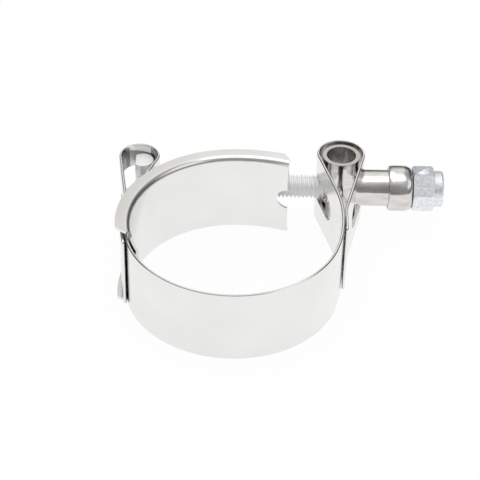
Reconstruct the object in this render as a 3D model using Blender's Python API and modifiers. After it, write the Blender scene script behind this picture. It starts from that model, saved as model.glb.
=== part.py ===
"""T-bolt band clamp: a flat steel band with a loop at each end, joined by a T-headed bolt.

The clamp lies with its hose axis upright (+Z) and its bolt along +X. Lengths are in metres.
The pieces are first built around the ring's centre, with z = 0 at the band's lower edge, and
hang on one empty that then sets the middle of the clamp's underside at the world's origin.
"""

import math

import bmesh
import bpy
from mathutils import Matrix, Vector

MM = 0.001

# Band: one strip, wound into a ring with a looped end on each side.
BAND_THICKNESS = 0.7 * MM
BAND_WIDTH = 19.0 * MM
RING_INNER_DIAMETER = 50.2 * MM
LAYER_GAP = 0.12 * MM
LEG_CORNER_RADIUS = 0.9 * MM
NUGGET_RADIUS = 1.5 * MM
NUGGET_DEPTH = 0.25 * MM
NUGGET_SPACING = 9.0 * MM

# Bolt and its T-shaped head.
BOLT_STAND_OFF = 3.75 * MM
THREAD_DIAMETER = 5.9 * MM
SHANK_STEP = 0.3 * MM
THREAD_CHAMFER = 0.5 * MM
THREAD_LEAD = 19.0 * MM
HEAD_INSET = 2.45 * MM
HEAD_DIAMETER = 5.5 * MM
HEAD_END_INSET = 2.2 * MM
HEAD_FLAT_OFFSET = 1.8 * MM
HEAD_EDGE_ROUNDING = 0.5 * MM
HEAD_EDGE_ANGLE = math.radians(40.0)

# Trunnion: an upright barrel and a sleeve in one piece.
BARREL_OVERHANG = 1.15 * MM
BARREL_STAND_OUT = 0.3 * MM
BARREL_SIDE_STEP = 0.01 * MM
BARREL_WALL = 1.0 * MM
SLEEVE_BOLT_GAP = 0.6 * MM
SLEEVE_WALL = 1.09 * MM
SLEEVE_REACH = 13.6 * MM
BOLT_HOLE_CLEARANCE = 0.4 * MM

# Stamped cap over the sleeve's end.
CAP_OVERLAP = 1.4 * MM
CAP_LENGTH = 6.0 * MM
CAP_WALL = 0.91 * MM
CAP_SHOULDER = 2.4 * MM
CAP_SHOULDER_STEP = 1.15 * MM
CAP_INNER_STEP = 0.54 * MM
CAP_FIT_GAP = 0.3 * MM
CAP_END_WALL = 1.0 * MM

# Lock nut with its nylon ring.
NUT_GAP = 0.15 * MM
NUT_HEX_LENGTH = 5.3 * MM
NUT_WALL = 2.05 * MM
NUT_CHAMFER = 0.45 * MM
NUT_CHAMFER_SLOPE = math.radians(49.0)
NUT_COLLAR_LENGTH = 2.4 * MM
NUT_COLLAR_WALL = 0.5 * MM
NUT_COLLAR_ROUNDING = 0.6 * MM
NUT_FLAT_TILT = math.radians(45.0)
NUT_BORE_GAP = 0.1 * MM
RING_GAP = 0.2 * MM
RING_LENGTH = 1.6 * MM
RING_WALL = 0.8 * MM
RING_LIP = 0.4 * MM
BOLT_END_INSET = 0.3 * MM

# Loops of the band: each one wraps what it carries, and sits a little off the bolt's axis.
RIGHT_LOOP_PLAY = 0.65 * MM
RIGHT_LOOP_OFFSET_Y = 1.3 * MM
LEFT_LOOP_GAP = 0.32 * MM
LEFT_LOOP_SHIFT_X = 0.7 * MM
LEFT_LOOP_OFFSET_Y = -1.05 * MM
SLOT_REACH = 8.4 * MM
BOLT_SLOT_GAP = 0.45 * MM
SLEEVE_SLOT_GAP = 0.61 * MM

# How each end leaves the ring. Angles are counted from the clamp's X axis.
THROAT_BEND_RADIUS = 15.0 * MM
RIGHT_END = {
    "leave": math.radians(-16.0),
    "straight": 13.47 * MM,
    "weld_top": math.radians(1.0),
    "weld_low": math.radians(-1.8),
    "leg": 3.9 * MM,
}
LEFT_END = {
    "leave": math.radians(-12.0),
    "straight": 10.6 * MM,
    "weld_top": math.radians(7.4),
    "weld_low": math.radians(-9.0),
    "leg": 3.9 * MM,
}

# Bridge: the flanged strip that closes the ring under the bolt.
BRIDGE_THICKNESS = 0.7 * MM
BRIDGE_WELD_GAP = 0.3 * MM
BRIDGE_BOLT_GAP = 0.43 * MM
BRIDGE_LIFT = 0.3 * MM
BRIDGE_TONGUE_END = math.radians(-166.0)
BRIDGE_TONGUE_SPAN = math.radians(12.0)
BRIDGE_LIP_DELAY = math.radians(2.0)
BRIDGE_BACK_HEADING = math.radians(2.0)
BRIDGE_BACK_RADIUS = 35.0 * MM
BRIDGE_END_GAP = 13.2 * MM
LIP_BEND_RADIUS = 0.95 * MM
LIP_TURN = math.radians(90.0)
LIP_LENGTH = 2.4 * MM
LIP_CORNER = 2.2 * MM
NOTCH_GAP = 0.05 * MM

# Fineness of the round forms.
ARC_STEP = math.radians(5.0)
BEND_STEP = math.radians(15.0)
ROUND_SEGMENTS = 48
SMALL_SEGMENTS = 32
SHOULDER_STEPS = 6
COLLAR_STEPS = 3
CORNER_STEPS = 3
EDGE_STEPS = 2
MERGE = 0.00005
CUT_MARGIN = 5.0 * MM

BAND_MID_Z = BAND_WIDTH / 2
RING_RADIUS = RING_INNER_DIAMETER / 2 + BAND_THICKNESS / 2
THREAD_RADIUS = THREAD_DIAMETER / 2
SHANK_RADIUS = THREAD_RADIUS - SHANK_STEP
BOLT_AXIS_Y = RING_RADIUS + BOLT_STAND_OFF
HEAD_RADIUS = HEAD_DIAMETER / 2
HEAD_LENGTH = BAND_WIDTH - 2 * HEAD_END_INSET
HEAD_AXIS_X = HEAD_INSET - RING_RADIUS
SLEEVE_BORE_RADIUS = THREAD_RADIUS + SLEEVE_BOLT_GAP
SLEEVE_RADIUS = SLEEVE_BORE_RADIUS + SLEEVE_WALL
BARREL_RADIUS = SLEEVE_RADIUS + BARREL_SIDE_STEP
BARREL_HEIGHT = BAND_WIDTH + 2 * BARREL_STAND_OUT
BARREL_AXIS_X = RING_RADIUS + BARREL_OVERHANG
SLEEVE_END_X = BARREL_AXIS_X + SLEEVE_REACH
THREAD_START_X = BARREL_AXIS_X - THREAD_LEAD
BOLT_HOLE_RADIUS = THREAD_RADIUS + BOLT_HOLE_CLEARANCE
SLOT_END_Y = BOLT_AXIS_Y - SLOT_REACH
BOLT_SLOT_HEIGHT = THREAD_DIAMETER + 2 * BOLT_SLOT_GAP
SLEEVE_SLOT_HEIGHT = 2 * (SLEEVE_RADIUS + SLEEVE_SLOT_GAP)
NOTCH_RADIUS = SHANK_RADIUS + NOTCH_GAP
BRIDGE_END_X = BARREL_AXIS_X - BRIDGE_END_GAP
RIGHT_LOOP_RADIUS = BARREL_RADIUS + RIGHT_LOOP_PLAY + BAND_THICKNESS / 2
LEFT_LOOP_PLAY = math.hypot(LEFT_LOOP_SHIFT_X, LEFT_LOOP_OFFSET_Y) + LEFT_LOOP_GAP
LEFT_LOOP_RADIUS = HEAD_RADIUS + LEFT_LOOP_PLAY + BAND_THICKNESS / 2
RIGHT_LOOP_CENTRE = Vector((BARREL_AXIS_X, BOLT_AXIS_Y + RIGHT_LOOP_OFFSET_Y))
LEFT_LOOP_CENTRE = Vector((HEAD_AXIS_X - LEFT_LOOP_SHIFT_X, BOLT_AXIS_Y + LEFT_LOOP_OFFSET_Y))
CAP_START_X = SLEEVE_END_X - CAP_OVERLAP
CAP_END_X = CAP_START_X + CAP_LENGTH
CAP_INNER_RADIUS = SLEEVE_RADIUS + CAP_FIT_GAP
CAP_RADIUS = CAP_INNER_RADIUS + CAP_WALL
NUT_START_X = CAP_END_X + NUT_GAP
NUT_LENGTH = NUT_HEX_LENGTH + NUT_COLLAR_LENGTH
BOLT_END_X = NUT_START_X + NUT_LENGTH - BOLT_END_INSET
NUT_CORNER_RADIUS = (THREAD_RADIUS + NUT_WALL) * 2 / math.sqrt(3.0)
NUT_BORE_RADIUS = THREAD_RADIUS + NUT_BORE_GAP
RING_INNER_RADIUS = THREAD_RADIUS + RING_GAP
RING_OUTER_RADIUS = RING_INNER_RADIUS + RING_WALL
RING_POCKET_RADIUS = RING_OUTER_RADIUS + RING_GAP / 2
NUT_COLLAR_RADIUS = RING_POCKET_RADIUS + NUT_COLLAR_WALL


# Scene, materials and small helpers

def clear_scene():
    for item in list(bpy.data.objects):
        bpy.data.objects.remove(item, do_unlink=True)


def new_collection(name):
    collection = bpy.data.collections.new(name)
    bpy.context.scene.collection.children.link(collection)
    return collection


def metal(name, colour, roughness, metallic=1.0):
    material = bpy.data.materials.new(name)
    material.use_nodes = True
    shader = material.node_tree.nodes["Principled BSDF"]
    shader.inputs["Base Color"].default_value = (*colour, 1.0)
    shader.inputs["Roughness"].default_value = roughness
    shader.inputs["Metallic"].default_value = metallic
    return material


def add_object(name, mesh, collection, material=None):
    item = bpy.data.objects.new(name, mesh)
    collection.objects.link(item)
    if material:
        mesh.materials.append(material)
    return item


def as_cutter(item):
    item.hide_render = True
    item.display_type = "WIRE"
    return item


def mesh_from(bm, name):
    mesh = bpy.data.meshes.new(name)
    bm.to_mesh(mesh)
    bm.free()
    return mesh


def boolean(item, other, operation):
    modifier = item.modifiers.new(operation.title() + "_" + other.name, "BOOLEAN")
    modifier.operation = operation
    modifier.solver = "EXACT"
    modifier.object = other


def shade(item, angle=math.radians(30.0)):
    item.data.shade_smooth()
    item.data.set_sharp_from_angle(angle=angle)


def cylinder(name, collection, radius, length, centre, direction="Z", segments=ROUND_SEGMENTS):
    """A closed round bar whose middle is at centre."""
    bm = bmesh.new()
    bmesh.ops.create_cone(
        bm, cap_ends=True, segments=segments, radius1=radius, radius2=radius, depth=length)
    turn = {"X": Matrix.Rotation(math.pi / 2, 4, "Y"), "Y": Matrix.Rotation(-math.pi / 2, 4, "X"),
            "Z": Matrix.Identity(4)}[direction]
    bmesh.ops.transform(bm, matrix=turn, verts=bm.verts)
    item = add_object(name, mesh_from(bm, name), collection)
    item.location = centre
    return item


def box(name, collection, low, high):
    """A closed box between two corners."""
    low, high = Vector(low), Vector(high)
    bm = bmesh.new()
    bmesh.ops.create_cube(bm, size=1.0)
    bmesh.ops.transform(bm, matrix=Matrix.Diagonal((*(high - low), 1.0)), verts=bm.verts)
    item = add_object(name, mesh_from(bm, name), collection)
    item.location = (low + high) / 2
    return item


def turned(name, collection, profile, segments=ROUND_SEGMENTS, closed=False):
    """Turn (radius, place along X) points about the bolt's line; they run from high X to low."""
    bm = bmesh.new()
    corners = [bm.verts.new((radius, 0.0, along)) for radius, along in profile]
    for first, second in zip(corners, corners[1:]):
        bm.edges.new((first, second))
    if closed:
        bm.edges.new((corners[-1], corners[0]))
    item = add_object(name, mesh_from(bm, name), collection)
    screw = item.modifiers.new("Turn", "SCREW")
    screw.steps = segments
    screw.render_steps = segments
    screw.use_merge_vertices = True
    screw.merge_threshold = MERGE
    item.rotation_euler = (0.0, math.pi / 2, 0.0)
    return item


def rounded_edge(inner, outer, end_x, depth, steps):
    """Profile points of a turned edge that rounds over from the end face to the outside."""
    points = []
    for i in range(steps + 1):
        angle = math.pi / 2 * i / steps
        points.append((inner + (outer - inner) * math.sin(angle), end_x - depth * (1 - math.cos(angle))))
    return points


def slot_cutter(name, collection, low_x, high_x, end_y, back_y, height):
    """A long slot seen along X: round at the front end and open at the back."""
    radius = height / 2
    bm = bmesh.new()
    steps = SMALL_SEGMENTS // 2
    outline = [(back_y, -radius)]
    outline += [(end_y - radius * math.sin(math.pi * i / steps), -radius * math.cos(math.pi * i / steps))
                for i in range(steps + 1)]
    outline += [(back_y, radius)]
    face = bm.faces.new([bm.verts.new((low_x, y, BAND_MID_Z + z)) for y, z in outline])
    swept = bmesh.ops.extrude_face_region(bm, geom=[face])
    moved = [part for part in swept["geom"] if isinstance(part, bmesh.types.BMVert)]
    bmesh.ops.translate(bm, verts=moved, vec=(high_x - low_x, 0.0, 0.0))
    bmesh.ops.recalc_face_normals(bm, faces=bm.faces)
    return as_cutter(add_object(name, mesh_from(bm, name), collection))


# Plan curves made of arcs and the straight lines between them

def direction(angle):
    return Vector((math.cos(angle), math.sin(angle)))


def arc(centre, radius, start, end, step=ARC_STEP):
    count = max(2, math.ceil(abs(end - start) / step))
    return [centre + radius * direction(start + (end - start) * i / count) for i in range(count + 1)]


def tangent_heading(first, first_radius, first_turn, second, second_radius, second_turn):
    """Heading of the line that leaves one circle and joins the next; turn is 1 for leftwards."""
    span = second - first
    reach = (second_turn * second_radius - first_turn * first_radius) / span.length
    return math.atan2(span.y, span.x) - math.asin(reach)


def joined(*runs):
    """One list of points from several runs, without the repeats where they meet."""
    points = []
    for run in runs:
        for point in run:
            if not points or (point - points[-1]).length > MERGE:
                points.append(point)
    return points


def relaxed_radius(end, loop_centre, loop_radius):
    """Radius of the end's wide arc that leaves a straight run of the wanted length to the loop."""
    leave = direction(end["leave"])
    span = loop_centre - RING_RADIUS * leave
    room = loop_radius + RING_RADIUS - loop_centre.dot(leave)
    return (span.length_squared - loop_radius ** 2 - end["straight"] ** 2) / (2 * room)


def band_end(end, loop_centre, loop_radius):
    """Centre line of a right-hand end, from the ring's front to the tip of the welded leg."""
    ring = Vector((0.0, 0.0))
    quarter = math.pi / 2
    wide = relaxed_radius(end, loop_centre, loop_radius)
    relaxed = ring + (RING_RADIUS - wide) * direction(end["leave"])
    leg_radius = wide + BAND_THICKNESS + LAYER_GAP
    throat = relaxed + (leg_radius + THROAT_BEND_RADIUS) * direction(end["weld_top"])
    inward = tangent_heading(relaxed, wide, 1, loop_centre, loop_radius, -1)
    outward = tangent_heading(loop_centre, loop_radius, -1, throat, THROAT_BEND_RADIUS, 1)
    tip = relaxed + leg_radius * direction(end["weld_low"])
    tip = tip + end["leg"] * direction(end["weld_low"] - quarter)
    return joined(
        arc(ring, RING_RADIUS, -quarter, end["leave"]),
        arc(relaxed, wide, end["leave"], inward - quarter),
        arc(loop_centre, loop_radius, inward + quarter, outward + quarter, BEND_STEP / 2),
        arc(throat, THROAT_BEND_RADIUS, outward - quarter + 2 * math.pi, end["weld_top"] + math.pi),
        arc(relaxed, leg_radius, end["weld_top"], end["weld_low"]),
        [tip],
    ), relaxed, wide


def mirrored(points):
    return [Vector((-point.x, point.y)) for point in points]


def strip(name, collection, points, low_z, high_z, thickness, corner=0.0):
    """A strip of sheet that stands on its edge along a plan curve."""
    bm = bmesh.new()
    rows = [(bm.verts.new((p.x, p.y, low_z)), bm.verts.new((p.x, p.y, high_z))) for p in points]
    for (low, high), (next_low, next_high) in zip(rows, rows[1:]):
        bm.faces.new((low, next_low, next_high, high))
    if corner:
        tips = [*rows[0], *rows[-1]]
        bmesh.ops.bevel(
            bm, geom=tips, offset=corner, offset_type="OFFSET", segments=CORNER_STEPS, profile=0.5,
            affect="VERTICES")
    item = add_object(name, mesh_from(bm, name), collection)
    solidify = item.modifiers.new("Sheet", "SOLIDIFY")
    solidify.thickness = thickness
    solidify.offset = 0.0
    solidify.use_even_offset = True
    return item


# Band

def make_band(parts, cutters, steel):
    right, right_relaxed, right_wide = band_end(RIGHT_END, RIGHT_LOOP_CENTRE, RIGHT_LOOP_RADIUS)
    left_centre = Vector((-LEFT_LOOP_CENTRE.x, LEFT_LOOP_CENTRE.y))
    left, left_relaxed, left_wide = band_end(LEFT_END, left_centre, LEFT_LOOP_RADIUS)
    route = joined(reversed(mirrored(left)), right)
    band = strip("band", parts, route, 0.0, BAND_WIDTH, BAND_THICKNESS, LEG_CORNER_RADIUS)
    band.data.materials.append(steel)

    right_x = RIGHT_LOOP_CENTRE.x
    right_back = RIGHT_LOOP_CENTRE.y + RIGHT_LOOP_RADIUS + CUT_MARGIN
    right_reach = RIGHT_LOOP_RADIUS + CUT_MARGIN
    boolean(band, slot_cutter(
        "right_bolt_slot", cutters, right_x - right_reach, right_x, SLOT_END_Y, right_back,
        BOLT_SLOT_HEIGHT), "DIFFERENCE")
    boolean(band, slot_cutter(
        "right_sleeve_slot", cutters, right_x - BAND_THICKNESS, right_x + right_reach, SLOT_END_Y,
        right_back, SLEEVE_SLOT_HEIGHT), "DIFFERENCE")
    left_x = LEFT_LOOP_CENTRE.x
    left_back = LEFT_LOOP_CENTRE.y + LEFT_LOOP_RADIUS + CUT_MARGIN
    left_reach = LEFT_LOOP_RADIUS + CUT_MARGIN
    boolean(band, slot_cutter(
        "left_bolt_slot", cutters, left_x - left_reach, left_x + left_reach, SLOT_END_Y, left_back,
        BOLT_SLOT_HEIGHT), "DIFFERENCE")

    ends = ((1, RIGHT_END, right_relaxed, right_wide), (-1, LEFT_END, left_relaxed, left_wide))
    for side, end, relaxed, wide in ends:
        angle = (end["weld_top"] + end["weld_low"]) / 2
        radius = wide + BAND_THICKNESS / 2 + LAYER_GAP / 2
        spot = relaxed + radius * direction(angle)
        for row in (-1, 1):
            nugget = cylinder(
                f"weld_{'right' if side > 0 else 'left'}_{'low' if row < 0 else 'high'}", cutters,
                NUGGET_RADIUS, LAYER_GAP + 2 * NUGGET_DEPTH,
                (side * spot.x, spot.y, BAND_MID_Z + row * NUGGET_SPACING / 2), "X", SMALL_SEGMENTS)
            nugget.rotation_euler = (0.0, 0.0, side * angle)
            boolean(band, as_cutter(nugget), "UNION")
    shade(band)
    return band


# Bridge

def side_radius(tongue_radius, side_end):
    """Radius of the bridge's side bend that brings its back up to the wanted gap under the bolt."""
    top = BOLT_AXIS_Y - SHANK_RADIUS - BRIDGE_BOLT_GAP - BRIDGE_THICKNESS / 2
    start_rise = math.sin(BRIDGE_TONGUE_END)
    end_rise = math.sin(side_end)
    return (top - tongue_radius * start_rise - BRIDGE_BACK_RADIUS * (1 - end_rise)) / (end_rise - start_rise)


def bridge_route():
    """Plan centre line of the web, from the tongue's tip to the free end, and the lips' first point."""
    ring = Vector((0.0, 0.0))
    tongue_radius = RING_INNER_DIAMETER / 2 - BRIDGE_WELD_GAP - BRIDGE_THICKNESS / 2
    side_end = math.pi / 2 + BRIDGE_BACK_HEADING - 2 * math.pi
    lip_start = BRIDGE_TONGUE_END - BRIDGE_LIP_DELAY
    bend = side_radius(tongue_radius, side_end)
    side = ring + (tongue_radius - bend) * direction(BRIDGE_TONGUE_END)
    back = side + (bend - BRIDGE_BACK_RADIUS) * direction(side_end)
    back_end = math.acos((BRIDGE_END_X - back.x) / BRIDGE_BACK_RADIUS) - 2 * math.pi
    return joined(
        arc(ring, tongue_radius, BRIDGE_TONGUE_END + BRIDGE_TONGUE_SPAN, BRIDGE_TONGUE_END),
        arc(side, bend, BRIDGE_TONGUE_END, lip_start),
        arc(side, bend, lip_start, side_end),
        arc(back, BRIDGE_BACK_RADIUS, side_end, back_end, ARC_STEP / 2),
    ), side + bend * direction(lip_start)


def lip_section():
    """Points (outward, above the web's edge) of one flared lip, from the web to its tip."""
    count = max(2, math.ceil(LIP_TURN / BEND_STEP))
    bend = []
    for i in range(1, count + 1):
        angle = LIP_TURN * i / count
        bend.append((LIP_BEND_RADIUS * (1 - math.cos(angle)), LIP_BEND_RADIUS * math.sin(angle)))
    root = bend[-1]
    for share in (0.5, 1.0):
        reach = LIP_LENGTH * share
        bend.append((root[0] + reach * math.sin(LIP_TURN), root[1] + reach * math.cos(LIP_TURN)))
    return bend


def make_bridge(parts, cutters, steel):
    route, lip_start = bridge_route()
    section = lip_section()
    low = BRIDGE_LIFT
    high = BRIDGE_LIFT + BAND_WIDTH
    first = min(range(len(route)), key=lambda i: (route[i] - lip_start).length)
    last = len(route) - 1
    bm = bmesh.new()
    rows = []
    for i, point in enumerate(route):
        before = route[max(i - 1, 0)]
        after = route[min(i + 1, last)]
        along = (after - before).normalized()
        outward = Vector((-along.y, along.x))
        web = [(0.0, low), (0.0, BAND_MID_Z + BRIDGE_LIFT), (0.0, high)]
        lower = [(out, low - up) for out, up in reversed(section)] if i >= first else []
        upper = [(out, high + up) for out, up in section] if i >= first else []
        if lower and i in (first, last):
            pull = along * (LIP_CORNER if i == first else -LIP_CORNER)
            lower[0] = (*lower[0], pull)
            upper[-1] = (*upper[-1], pull)
        row = []
        for column in (*lower, *web, *upper):
            place = point + outward * column[0]
            if len(column) > 2:
                place = place + column[2]
            row.append(bm.verts.new((place.x, place.y, column[1])))
        rows.append((row, len(lower)))
    for (row, skip), (next_row, next_skip) in zip(rows, rows[1:]):
        if skip == next_skip:
            pairs = zip(row, row[1:], next_row, next_row[1:])
        else:
            web_end = next_skip + len(row)
            pairs = zip(row, row[1:], next_row[next_skip:web_end], next_row[next_skip + 1:web_end])
        for corner, above, next_corner, next_above in pairs:
            bm.faces.new((corner, above, next_above, next_corner))
    bridge = add_object("bridge", mesh_from(bm, "bridge"), parts, steel)
    solidify = bridge.modifiers.new("Sheet", "SOLIDIFY")
    solidify.thickness = BRIDGE_THICKNESS
    solidify.offset = 0.0
    solidify.use_even_offset = True
    tip = route[-1]
    notch = cylinder(
        "bolt_notch", cutters, NOTCH_RADIUS, 2 * CUT_MARGIN, (tip.x, tip.y, BAND_MID_Z), "Y",
        SMALL_SEGMENTS)
    boolean(bridge, as_cutter(notch), "DIFFERENCE")
    shade(bridge)
    return bridge


# Bolt with its T head

def make_bolt(parts, cutters, zinc):
    head = cylinder(
        "t_bolt", parts, HEAD_RADIUS, HEAD_LENGTH, (HEAD_AXIS_X, BOLT_AXIS_Y, BAND_MID_Z), "Z",
        SMALL_SEGMENTS)
    head.data.materials.append(zinc)
    flat = box(
        "head_flat", cutters,
        (HEAD_AXIS_X - 2 * HEAD_RADIUS, BOLT_AXIS_Y - 2 * HEAD_RADIUS, -CUT_MARGIN),
        (HEAD_AXIS_X - HEAD_FLAT_OFFSET, BOLT_AXIS_Y + 2 * HEAD_RADIUS, BAND_WIDTH + CUT_MARGIN))
    boolean(head, as_cutter(flat), "DIFFERENCE")
    rounding = head.modifiers.new("Edges", "BEVEL")
    rounding.width = HEAD_EDGE_ROUNDING
    rounding.segments = EDGE_STEPS
    rounding.limit_method = "ANGLE"
    rounding.angle_limit = HEAD_EDGE_ANGLE
    body = turned("bolt_shank", cutters, [
        (0.0, BOLT_END_X),
        (THREAD_RADIUS - THREAD_CHAMFER, BOLT_END_X),
        (THREAD_RADIUS, BOLT_END_X - THREAD_CHAMFER),
        (THREAD_RADIUS, THREAD_START_X),
        (SHANK_RADIUS, THREAD_START_X - SHANK_STEP),
        (SHANK_RADIUS, HEAD_AXIS_X),
        (0.0, HEAD_AXIS_X),
    ], SMALL_SEGMENTS)
    body.location = (0.0, BOLT_AXIS_Y, BAND_MID_Z)
    boolean(head, as_cutter(body), "UNION")
    shade(head)
    return head


# Trunnion and cap

def make_trunnion(parts, cutters, steel):
    centre = (BARREL_AXIS_X, BOLT_AXIS_Y, BAND_MID_Z)
    trunnion = cylinder("trunnion", parts, BARREL_RADIUS, BARREL_HEIGHT, centre)
    trunnion.data.materials.append(steel)
    sleeve_middle = (BARREL_AXIS_X + SLEEVE_REACH / 2, BOLT_AXIS_Y, BAND_MID_Z)
    sleeve = cylinder(
        "sleeve", cutters, SLEEVE_RADIUS, SLEEVE_REACH, sleeve_middle, "X")
    boolean(trunnion, as_cutter(sleeve), "UNION")
    bore = cylinder(
        "barrel_bore", cutters, BARREL_RADIUS - BARREL_WALL, BARREL_HEIGHT + CUT_MARGIN, centre)
    boolean(trunnion, as_cutter(bore), "DIFFERENCE")
    sleeve_bore = cylinder(
        "sleeve_bore", cutters, SLEEVE_BORE_RADIUS, SLEEVE_REACH + CUT_MARGIN,
        (sleeve_middle[0] + CUT_MARGIN / 2, BOLT_AXIS_Y, BAND_MID_Z), "X")
    boolean(trunnion, as_cutter(sleeve_bore), "DIFFERENCE")
    hole = cylinder(
        "bolt_hole", cutters, BOLT_HOLE_RADIUS, 2 * BARREL_RADIUS,
        (BARREL_AXIS_X - BARREL_RADIUS, BOLT_AXIS_Y, BAND_MID_Z), "X", SMALL_SEGMENTS)
    boolean(trunnion, as_cutter(hole), "DIFFERENCE")
    shade(trunnion)
    return trunnion


def make_cap(parts, steel):
    inner_end = CAP_END_X - CAP_END_WALL
    cap = turned("sleeve_cap", parts, [
        (BOLT_HOLE_RADIUS, CAP_END_X),
        *rounded_edge(
            CAP_RADIUS - CAP_SHOULDER_STEP, CAP_RADIUS, CAP_END_X, CAP_SHOULDER, SHOULDER_STEPS),
        (CAP_RADIUS, CAP_START_X),
        (CAP_INNER_RADIUS, CAP_START_X),
        (CAP_INNER_RADIUS, inner_end - CAP_SHOULDER / 2),
        (CAP_INNER_RADIUS - CAP_INNER_STEP, inner_end),
        (BOLT_HOLE_RADIUS, inner_end),
    ], closed=True)
    cap.data.materials.append(steel)
    cap.location = (0.0, BOLT_AXIS_Y, BAND_MID_Z)
    shade(cap)
    return cap


# Lock nut

def make_nut(parts, cutters, zinc):
    collar_start = NUT_START_X + NUT_HEX_LENGTH
    nut_end = NUT_START_X + NUT_LENGTH
    bm = bmesh.new()
    bmesh.ops.create_cone(
        bm, cap_ends=True, segments=6, radius1=NUT_CORNER_RADIUS, radius2=NUT_CORNER_RADIUS,
        depth=NUT_HEX_LENGTH)
    bmesh.ops.transform(bm, matrix=Matrix.Rotation(math.pi / 2, 4, "Y"), verts=bm.verts)
    nut = add_object("lock_nut", mesh_from(bm, "lock_nut"), parts, zinc)
    nut.location = (NUT_START_X + NUT_HEX_LENGTH / 2, BOLT_AXIS_Y, BAND_MID_Z)
    nut.rotation_euler = (math.pi / 2 - NUT_FLAT_TILT, 0.0, 0.0)

    drop = NUT_CHAMFER * math.tan(NUT_CHAMFER_SLOPE)
    blank = turned("nut_chamfers", cutters, [
        (0.0, collar_start + drop),
        (NUT_CORNER_RADIUS - 2 * NUT_CHAMFER, collar_start + drop),
        (NUT_CORNER_RADIUS + NUT_CHAMFER, collar_start - 2 * drop),
        (NUT_CORNER_RADIUS + NUT_CHAMFER, NUT_START_X + 2 * drop),
        (NUT_CORNER_RADIUS - 2 * NUT_CHAMFER, NUT_START_X - drop),
        (0.0, NUT_START_X - drop),
    ])
    blank.location = (0.0, BOLT_AXIS_Y, BAND_MID_Z)
    boolean(nut, as_cutter(blank), "INTERSECT")

    collar_body = turned("nut_collar", cutters, [
        (0.0, nut_end),
        *rounded_edge(
            NUT_COLLAR_RADIUS - NUT_COLLAR_ROUNDING, NUT_COLLAR_RADIUS, nut_end,
            NUT_COLLAR_ROUNDING, COLLAR_STEPS),
        (NUT_COLLAR_RADIUS, collar_start - NUT_CHAMFER),
        (0.0, collar_start - NUT_CHAMFER),
    ])
    collar_body.location = (0.0, BOLT_AXIS_Y, BAND_MID_Z)
    boolean(nut, as_cutter(collar_body), "UNION")

    pocket_end = nut_end - RING_LIP
    pocket_start = pocket_end - RING_LENGTH - RING_GAP
    bore = turned("nut_bore", cutters, [
        (0.0, nut_end + CUT_MARGIN),
        (RING_INNER_RADIUS + RING_WALL / 2, nut_end + CUT_MARGIN),
        (RING_INNER_RADIUS + RING_WALL / 2, pocket_end),
        (RING_POCKET_RADIUS, pocket_end),
        (RING_POCKET_RADIUS, pocket_start),
        (NUT_BORE_RADIUS, pocket_start),
        (NUT_BORE_RADIUS, NUT_START_X - CUT_MARGIN),
        (0.0, NUT_START_X - CUT_MARGIN),
    ])
    bore.location = (0.0, BOLT_AXIS_Y, BAND_MID_Z)
    boolean(nut, as_cutter(bore), "DIFFERENCE")
    shade(nut)
    return nut, pocket_start + RING_GAP / 2


def make_nylon_ring(parts, nylon, start_x):
    ring = turned("nylon_ring", parts, [
        (RING_INNER_RADIUS, start_x + RING_LENGTH),
        (RING_OUTER_RADIUS, start_x + RING_LENGTH),
        (RING_OUTER_RADIUS, start_x),
        (RING_INNER_RADIUS, start_x),
    ], closed=True)
    ring.data.materials.append(nylon)
    ring.location = (0.0, BOLT_AXIS_Y, BAND_MID_Z)
    shade(ring)
    return ring


# Assembly

def set_on_origin(parts):
    """Carry the whole clamp so that the middle of its underside is at the world's origin."""
    frame = bpy.data.objects.new("clamp_frame", None)
    parts.objects.link(frame)
    bpy.context.view_layer.update()
    graph = bpy.context.evaluated_depsgraph_get()
    corners = []
    for item in parts.objects:
        if item.type == "MESH":
            shape = item.evaluated_get(graph)
            corners += [shape.matrix_world @ vertex.co for vertex in shape.data.vertices]
    low = [min(corner[axis] for corner in corners) for axis in range(3)]
    high = [max(corner[axis] for corner in corners) for axis in range(3)]
    for item in bpy.data.objects:
        if item is not frame and item.parent is None:
            item.parent = frame
    frame.location = (-(low[0] + high[0]) / 2, -(low[1] + high[1]) / 2, -low[2])
    bpy.context.view_layer.update()


def main():
    clear_scene()
    parts = new_collection("t_bolt_clamp")
    cutters = new_collection("cutters")
    band_steel = metal("band_steel", (0.78, 0.77, 0.75), 0.28)
    formed_steel = metal("formed_steel", (0.60, 0.58, 0.56), 0.16)
    zinc = metal("zinc_plate", (0.80, 0.83, 0.87), 0.30)
    nylon = metal("nylon", (0.85, 0.86, 0.84), 0.45, 0.0)
    make_band(parts, cutters, band_steel)
    make_bridge(parts, cutters, band_steel)
    make_bolt(parts, cutters, zinc)
    make_trunnion(parts, cutters, formed_steel)
    make_cap(parts, formed_steel)
    nut, ring_start = make_nut(parts, cutters, zinc)
    make_nylon_ring(parts, nylon, ring_start)
    set_on_origin(parts)


main()
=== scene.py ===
"""Looks of the T-bolt band clamp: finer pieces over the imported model, metals, studio and camera.

Each CAD node is replaced by a piece made from the same sizes with finer steps, softened edges
and, on the bolt, a real screw thread. Sizes are in metres, in the frame of the ring's centre with
z = 0 at the band's lower edge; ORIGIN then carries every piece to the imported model's own frame.
"""

import math

import bmesh
import bpy
from mathutils import Matrix, Vector


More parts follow.
